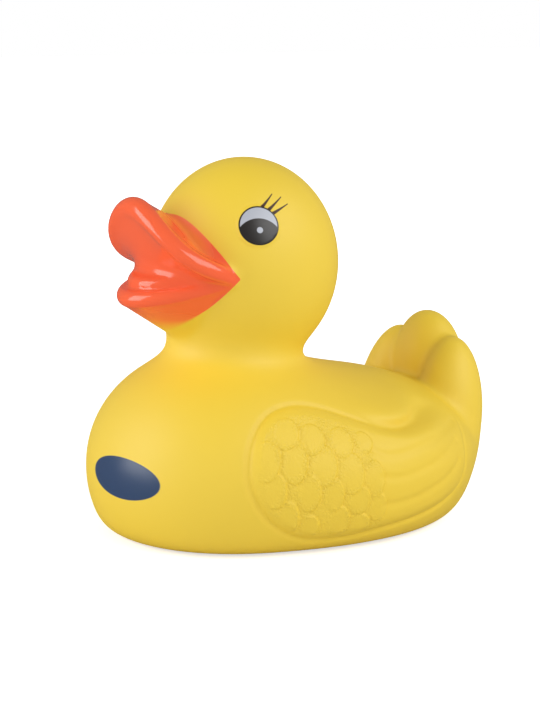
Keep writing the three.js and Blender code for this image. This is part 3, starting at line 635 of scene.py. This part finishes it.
# The paint thins out under the chin, and in the valley between the bill's rim and the head, where the thin
# paint's lighter colour is also painted light on the shaded valley; a depth is how far inside the paint
# line a place is
thinPaintAndValleyLight = {
    "chinTop": 72.0, "chinFade": 8.0, "chinTurns": (1.3, 25.0), "chinDepth": (-1.0, 3.0),
    "valleyShare": 0.85, "valleyDepth": (4.0, 10.0), "valleyOut": (0.0, 6.0), "valleyTurns": (0.2, 0.5),
    "valleyBottom": (76.0, 80.0), "edgeShare": 0.4, "edgeDepth": (0.3, 2.5),
}


# How thin the paint is, with painted light in the valley, and how near a place is to the soft paint edge
# under the chin
def paintThinAndLit(x, y, z, paint):
    k = thinPaintAndValleyLight
    angle = np.degrees(np.arctan2(np.abs(y), x - duckForm["head"]["x"]))
    underChin = np.clip((k["chinTop"] - z) / k["chinFade"], 0, 1)
    underChin = underChin * np.clip(k["chinTurns"][0] - angle / k["chinTurns"][1], 0, 1)
    # valley mask: thinner paint, and painted light where the lighter colour stands in for light on the
    # shaded valley
    valleyThinAndLit = 1 - smoothStep(*k["valleyDepth"], -paint)
    valleyThinAndLit = valleyThinAndLit * (1 - smoothStep(*k["valleyOut"], plainForm(x, y, z)))
    valleyThinAndLit = valleyThinAndLit * smoothStep(*k["valleyTurns"], 1 - angle / paintLine["corner"])
    valleyThinAndLit = valleyThinAndLit * between(k["edgeShare"], 1, smoothStep(*k["edgeDepth"], -paint))
    valleyThinAndLit = valleyThinAndLit * smoothStep(*k["valleyBottom"], z)
    thin = np.maximum(k["valleyShare"] * valleyThinAndLit, underChin * (1 - smoothStep(*k["chinDepth"], -paint)))
    return thin, underChin


# Badge on the breast: an oval in two lengths, w round the breast and z up, leaning down to the duck's left
badgeShape = {
    "pivotX": 15.0, "radius": 40.0, "w": 8.2, "z": 20.6, "long": 13.8, "short": 5.7, "lean": -0.8,
    "breastFrom": 35.0, "edge": 0.02,
}


# Place on the badge: along it and over it, and a third value that is far outside its oval behind the breast
def badgePlace(x, y, z):
    k = badgeShape
    w = np.arctan2(y, np.maximum(x - k["pivotX"], 1)) * k["radius"] - k["w"]
    h = z - k["z"]
    c, s = math.cos(math.radians(k["lean"])), math.sin(math.radians(k["lean"]))
    return w * c + h * s, h * c - w * s, np.where(x > k["breastFrom"], 0, 9)


# Crown of the scales, and depth inside the grained part of the wing, which is -9 away from the wings
def grainPlace(x, y, z):
    s, t = wingPlace(x, y, z)
    onWing = (np.abs(s) < 40) & (z < 60)
    return scaleCrown(s, t), np.where(onWing, depthInside(grainOutline, s, t), -9)


x, y, z = points.T
skin = makeMesh("duckSkin", (points + shift) * mm, faces)
setAttribute(skin.data, "eyePlace", *eyePlace(x, y, z))
setAttribute(skin.data, "badgePlace", *badgePlace(x, y, z))
setAttribute(skin.data, "grainPlace", *grainPlace(x, y, z))
paint = paintPlace(x, y, z)
setAttribute(skin.data, "paintPlace", paint, *paintThinAndLit(x, y, z, paint))
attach(skin, "root")
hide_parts("duck_shell")
print("stage 3: skin made")


# Short calls for the shader nodes of one material
class Nodes:
    def __init__(self, tree):
        self.tree = tree

    def add(self, kind, **values):
        node = self.tree.nodes.new(kind)
        for key, value in values.items():
            setattr(node, key, value)
        return node

    def link(self, source, target):
        self.tree.links.new(source, target)

    def math(self, operation, a, b=None, clamp=False):
        node = self.add("ShaderNodeMath", operation=operation, use_clamp=clamp)
        for socket, value in zip(node.inputs, (a, b)):
            if value is None:
                continue
            if isinstance(value, (int, float)):
                socket.default_value = value
            else:
                self.link(value, socket)
        return node.outputs[0]

    def plus(self, a, b):
        return self.math("ADD", a, b)

    def minus(self, a, b):
        return self.math("SUBTRACT", a, b)

    def times(self, a, b):
        return self.math("MULTIPLY", a, b)

    def length(self, a, b):
        return self.math("SQRT", self.plus(self.times(a, a), self.times(b, b)))

    # 1 less a share of a mask
    def without(self, mask, share):
        return self.minus(1.0, self.times(mask, share))

    # 1 where value is below edge, 0 above it, with a soft step of the given half width
    def below(self, value, edge, soft):
        node = self.add("ShaderNodeMapRange", interpolation_type="SMOOTHSTEP")
        self.link(value, node.inputs["Value"])
        node.inputs["From Min"].default_value = edge - soft
        node.inputs["From Max"].default_value = edge + soft
        node.inputs["To Min"].default_value = 1
        node.inputs["To Max"].default_value = 0
        return node.outputs["Result"]

    # From a to b as fac goes from 0 to 1; kind is RGBA for colours and FLOAT for numbers
    def mix(self, fac, a, b, kind="RGBA"):
        node = self.add("ShaderNodeMix", data_type=kind)
        first = 6 if kind == "RGBA" else 2
        for socket, value in zip((node.inputs[0], node.inputs[first], node.inputs[first + 1]), (fac, a, b)):
            if isinstance(value, bpy.types.NodeSocket):
                self.link(value, socket)
            else:
                socket.default_value = value
        return node.outputs[2 if kind == "RGBA" else 0]

    # The three values that setAttribute gave to a point
    def place(self, name):
        node = self.add("ShaderNodeAttribute", attribute_name=name)
        split = self.add("ShaderNodeSeparateXYZ")
        self.link(node.outputs["Vector"], split.inputs[0])
        return split.outputs[0], split.outputs[1], split.outputs[2]


# Colour as it looks, from 0 to 255, turned into the renderer's own values
def srgb(r, g, b):
    c = np.array([r, g, b]) / 255
    return tuple(np.where(c < 0.04045, c / 12.92, ((c + 0.055) / 1.055) ** 2.4)) + (1.0,)


duckColours = {
    "vinyl": srgb(243, 208, 56),
    "beak": srgb(252, 104, 61),
    # lighter orange of the thin paint; in the valley between the bill's rim and the head it is also painted
    # light
    "beakThinAndLit": srgb(255, 144, 48),
    "badge": srgb(45, 69, 105),
    "eyeWhite": srgb(182, 186, 196),
    "eyeBlack": srgb(36, 31, 29),
    "lash": srgb(70, 42, 18),
}

# Roughness of the vinyl, the beak's paint and the prints, and how strongly all of them reflect
finish = {"vinyl": 0.55, "beak": 0.14, "print": 0.3, "thinPaintDulls": 2.5, "specular": 0.7}

# Soft paint edge under the chin, and how hard the paint edge is elsewhere, in millimetres
paintEdge = {"chinInwards": 0.7, "chinSoft": 1.2, "hard": 0.13}

# Leather grain: how many pebbles and patches there are in a metre, where and by how much it fades, and how
# high it stands
grain = {
    "pebbles": 920, "patches": 220, "pebbleFill": 3.5, "edge": 0.8,
    "crownLess": 0.7, "patchLess": 0.6, "patchLevel": 0.5, "patchSoft": 0.2,
    "strength": 0.6, "height": 0.00022,
}

# Eye print on the eye's plane, where across grows to the rear; depth is how far off the plane it still
# shows, with the half width of its soft end
eyePrint = {
    "across": 0.12, "up": 0.0, "edge": 5.55, "rim": 0.42, "soft": 0.08, "depth": (3.5, 0.2),
    "pupilRadius": 6.8, "pupilUp": -4.85, "glint": (0.3, -1.4, 0.85), "glintSoft": 0.1,
    # root, middle and tip of each lash
    "lashes": [[(1.5, 5.3), (3.1, 7.15), (4.95, 9.55)],
               [(3.3, 4.5), (5.3, 6.45), (7.45, 8.75)],
               [(4.5, 3.5), (6.9, 5.1), (9.15, 6.7)]],
    "lashRoot": 0.5, "lashTip": 0.14, "lashTaper": 1.4, "lashSoft": 0.1,
}


# Circle through three points, and the turns from its middle to the first and the last
def arcThrough(a, b, c):
    a, b, c = np.array([a, b, c])
    middleX, middleY = np.linalg.solve([b - a, c - a], np.array([b @ b - a @ a, c @ c - a @ a]) / 2)
    start = math.degrees(math.atan2(a[1] - middleY, a[0] - middleX))
    end = math.degrees(math.atan2(c[1] - middleY, c[0] - middleX))
    return float(middleX), float(middleY), math.hypot(a[0] - middleX, a[1] - middleY), start, end


skinMaterial = bpy.data.materials.new("paintedVinyl")
skinMaterial.use_nodes = True
n = Nodes(skinMaterial.node_tree)
principled = skinMaterial.node_tree.nodes["Principled BSDF"]

# Beak paint over the vinyl; its lighter thin-paint colour is also painted light in the valley between rim
# and head
paint, thin, underChin = n.place("paintPlace")
edge = n.math("DIVIDE", n.minus(paint, n.times(underChin, paintEdge["chinInwards"])),
              n.plus(n.times(underChin, paintEdge["chinSoft"]), paintEdge["hard"]))
beakMask = n.below(edge, 0.0, 1.0)
# thin mask: real thin paint under the chin, thin paint plus painted light in the valley
beakColour = n.mix(thin, duckColours["beak"], duckColours["beakThinAndLit"])
colour = n.mix(beakMask, duckColours["vinyl"], beakColour)

# Badge
along, over, far = n.place("badgePlace")
oval = n.length(n.math("DIVIDE", along, badgeShape["long"]), n.math("DIVIDE", over, badgeShape["short"]))
badgeMask = n.below(n.plus(oval, far), 1.0, badgeShape["edge"])
colour = n.mix(badgeMask, colour, duckColours["badge"])

# Eye: a black disc with a white upper part and a glint, inside a black rim
across, up, out = n.place("eyePlace")
k = eyePrint
facing = n.below(n.math("ABSOLUTE", out), *k["depth"])
fromMiddle = n.length(n.minus(across, k["across"]), n.minus(up, k["up"]))
fromPupil = n.length(across, n.minus(up, k["pupilUp"]))
fromGlint = n.length(n.minus(across, k["glint"][0]), n.minus(up, k["glint"][1]))
pupilMask = n.below(fromPupil, k["pupilRadius"], k["soft"])
eyeColour = n.mix(pupilMask, duckColours["eyeWhite"], duckColours["eyeBlack"])
eyeColour = n.mix(n.below(fromGlint, k["glint"][2], k["glintSoft"]), eyeColour, duckColours["eyeWhite"])
insideRim = n.below(fromMiddle, k["edge"] - k["rim"], k["soft"])
eyeColour = n.mix(insideRim, duckColours["eyeBlack"], eyeColour)
eyeMask = n.times(n.below(fromMiddle, k["edge"], k["soft"]), facing)

# Lashes: each is a stroke along an arc that narrows from root to tip
lashMask = None
for lashPoints in k["lashes"]:
    middleX, middleY, radius, start, end = arcThrough(*lashPoints)
    a = n.minus(across, middleX)
    u = n.minus(up, middleY)
    turn = n.times(n.math("ARCTAN2", u, a), 180 / math.pi)
    part = n.math("DIVIDE", n.minus(turn, start), end - start)
    off = n.math("ABSOLUTE", n.minus(n.length(a, u), radius))
    taper = n.math("POWER", n.math("SUBTRACT", 1.0, part, clamp=True), k["lashTaper"])
    half = n.plus(n.times(taper, k["lashRoot"] - k["lashTip"]), k["lashTip"])
    stroke = n.below(n.minus(off, half), 0.0, k["lashSoft"])
    ends = n.times(n.below(n.times(part, -1.0), 0.02, 0.02), n.below(part, 1.0, 0.03))
    stroke = n.times(n.times(stroke, ends), facing)
    lashMask = stroke if lashMask is None else n.math("MAXIMUM", lashMask, stroke)
colour = n.mix(lashMask, colour, duckColours["lash"])
colour = n.mix(eyeMask, colour, eyeColour)
n.link(colour, principled.inputs["Base Color"])

# The thick paint of the beak is glossy, the prints are satin and the vinyl is duller
thinDull = n.math("MULTIPLY", thin, finish["thinPaintDulls"], clamp=True)
glossMask = n.times(beakMask, n.minus(1.0, thinDull))
roughness = n.mix(glossMask, finish["vinyl"], finish["beak"], "FLOAT")
roughness = n.mix(n.math("MAXIMUM", eyeMask, badgeMask), roughness, finish["print"], "FLOAT")
n.link(roughness, principled.inputs["Roughness"])
principled.inputs["Specular IOR Level"].default_value = finish["specular"]

# Leather grain on the front half of each wing: pebbles of about a millimetre, stronger in some patches
crown, grainDepth, _ = n.place("grainPlace")
objectPlace = n.add("ShaderNodeTexCoord").outputs["Object"]
pebbles = n.add("ShaderNodeTexVoronoi", feature="DISTANCE_TO_EDGE")
pebbles.inputs["Scale"].default_value = grain["pebbles"]
patches = n.add("ShaderNodeTexNoise")
patches.inputs["Scale"].default_value = grain["patches"]
for texture in (pebbles, patches):
    n.link(objectPlace, texture.inputs["Vector"])
pebbleHeight = n.math("MULTIPLY", pebbles.outputs["Distance"], grain["pebbleFill"], clamp=True)
grainMask = n.below(n.times(grainDepth, -1.0), -grain["edge"], grain["edge"])
grainMask = n.times(grainMask, n.without(crown, grain["crownLess"]))
patchMask = n.below(patches.outputs[0], grain["patchLevel"], grain["patchSoft"])
grainMask = n.times(grainMask, n.without(patchMask, grain["patchLess"]))
bump = n.add("ShaderNodeBump")
bump.inputs["Strength"].default_value = grain["strength"]
bump.inputs["Distance"].default_value = grain["height"]
n.link(n.times(pebbleHeight, grainMask), bump.inputs["Height"])
n.link(bump.outputs["Normal"], principled.inputs["Normal"])
skin.data.materials.append(skinMaterial)

# Camera at the photograph's angle; it looks at a point so far right of and up from the forms' own origin
cameraPlace = {
    "azimuth": 58.0, "elevation": 10.0, "distance": 600.0, "right": -1.801, "up": 46.937,
    "pixelsPerMm": 3.4742, "pictureHeight": 720, "sensorHeight": 36,
}
back = Vector(wayTo(cameraPlace["azimuth"], cameraPlace["elevation"]))
right = Vector(wayTo(cameraPlace["azimuth"] + 90, 0))
upward = back.cross(right)
target = Vector(shift.tolist()) + Vector((0, 0, cameraPlace["up"])) + right * cameraPlace["right"]
cameraData = bpy.data.cameras.new("camera")
cameraData.sensor_fit = "VERTICAL"
cameraData.sensor_height = cameraPlace["sensorHeight"]
millimetresSeen = cameraPlace["pictureHeight"] / cameraPlace["pixelsPerMm"]
cameraData.lens = cameraPlace["distance"] / millimetresSeen * cameraPlace["sensorHeight"]
camera = bpy.data.objects.new("camera", cameraData)
bpy.context.scene.collection.objects.link(camera)
place = (target + back * cameraPlace["distance"]) * mm
camera.matrix_world = Matrix.Translation(place) @ Matrix((right, upward, back)).transposed().to_4x4()
bpy.context.scene.camera = camera

# Floor and sky, in metres: the floor glows for the camera alone, more so far from the duck, and keeps the
# duck's shadow; the sky is brightest near the horizon, and both are dimmer in the duck's reflections
studio = {
    "floorHalf": 4.0, "floorDrop": 0.00005, "floorColour": 0.86, "floorGloss": 0.18,
    "glowNear": 0.62, "glowFar": 1.0, "farFrom": 0.35, "farSoft": 0.2,
    "skyTop": 0.26, "skyLow": 0.94, "skyMiddle": 0.55, "skySoft": 0.45, "skyGloss": 0.16,
}
half, drop = studio["floorHalf"], studio["floorDrop"]
floorCorners = [(-half, -half, -drop), (half, -half, -drop), (half, half, -drop), (-half, half, -drop)]
floor = makeMesh("floor", floorCorners, [[0, 1, 2, 3]])
floorMaterial = bpy.data.materials.new("paleFloor")
floorMaterial.use_nodes = True
f = Nodes(floorMaterial.node_tree)
floorShader = floorMaterial.node_tree.nodes["Principled BSDF"]
floorShader.inputs["Roughness"].default_value = 0.9
floorShader.inputs["Specular IOR Level"].default_value = 0.0
floorShader.inputs["Emission Color"].default_value = (1, 1, 1, 1)
floorRay = f.add("ShaderNodeLightPath")
grey = [(studio[key],) * 3 + (1,) for key in ("floorColour", "floorGloss")]
f.link(f.mix(floorRay.outputs["Is Glossy Ray"], *grey), floorShader.inputs["Base Color"])
floorPlace = f.add("ShaderNodeTexCoord")
away = f.add("ShaderNodeVectorMath", operation="LENGTH")
f.link(floorPlace.outputs["Object"], away.inputs[0])
nearDuck = f.below(away.outputs["Value"], studio["farFrom"], studio["farSoft"])
glow = f.mix(nearDuck, studio["glowFar"], studio["glowNear"], "FLOAT")
f.link(f.times(floorRay.outputs["Is Camera Ray"], glow), floorShader.inputs["Emission Strength"])
floor.data.materials.append(floorMaterial)

world = bpy.data.worlds.new("studio")
bpy.context.scene.world = world
world.use_nodes = True
w = Nodes(world.node_tree)
background = world.node_tree.nodes["Background"]
background.inputs["Color"].default_value = (1, 1, 1, 1)
skyPlace = w.add("ShaderNodeTexCoord")
skyHeight = w.add("ShaderNodeSeparateXYZ")
w.link(skyPlace.outputs["Generated"], skyHeight.inputs[0])
skyRay = w.add("ShaderNodeLightPath")
skyMask = w.below(skyHeight.outputs["Z"], studio["skyMiddle"], studio["skySoft"])
sky = w.mix(skyMask, studio["skyTop"], studio["skyLow"], "FLOAT")
sky = w.mix(skyRay.outputs["Is Glossy Ray"], sky, studio["skyGloss"], "FLOAT")
w.link(w.mix(skyRay.outputs["Is Camera Ray"], sky, 1.0, "FLOAT"), background.inputs["Strength"])

# Softboxes that face the duck's middle
softboxes = [
    # name, azimuth, elevation, distance, width, height, power
    ("key", 116.0, 38.0, 0.9, 0.9, 0.5, 3.75),
    ("fill", -18.0, 18.0, 0.9, 0.55, 0.75, 3.85),
]
duckMiddle = Vector((0, 0, 0.05))
for name, azimuth, elevation, distance, width, height, power in softboxes:
    light = bpy.data.lights.new(name, "AREA")
    light.shape = "RECTANGLE"
    light.size, light.size_y, light.energy = width, height, power
    lamp = bpy.data.objects.new(name, light)
    way = Vector(wayTo(azimuth, elevation))
    lamp.location = duckMiddle + way * distance
    lamp.rotation_euler = way.to_track_quat("Z", "Y").to_euler()
    bpy.context.scene.collection.objects.link(lamp)

bpy.context.scene.view_settings.view_transform = "Standard"
print("stage 4: materials, camera and lights made")
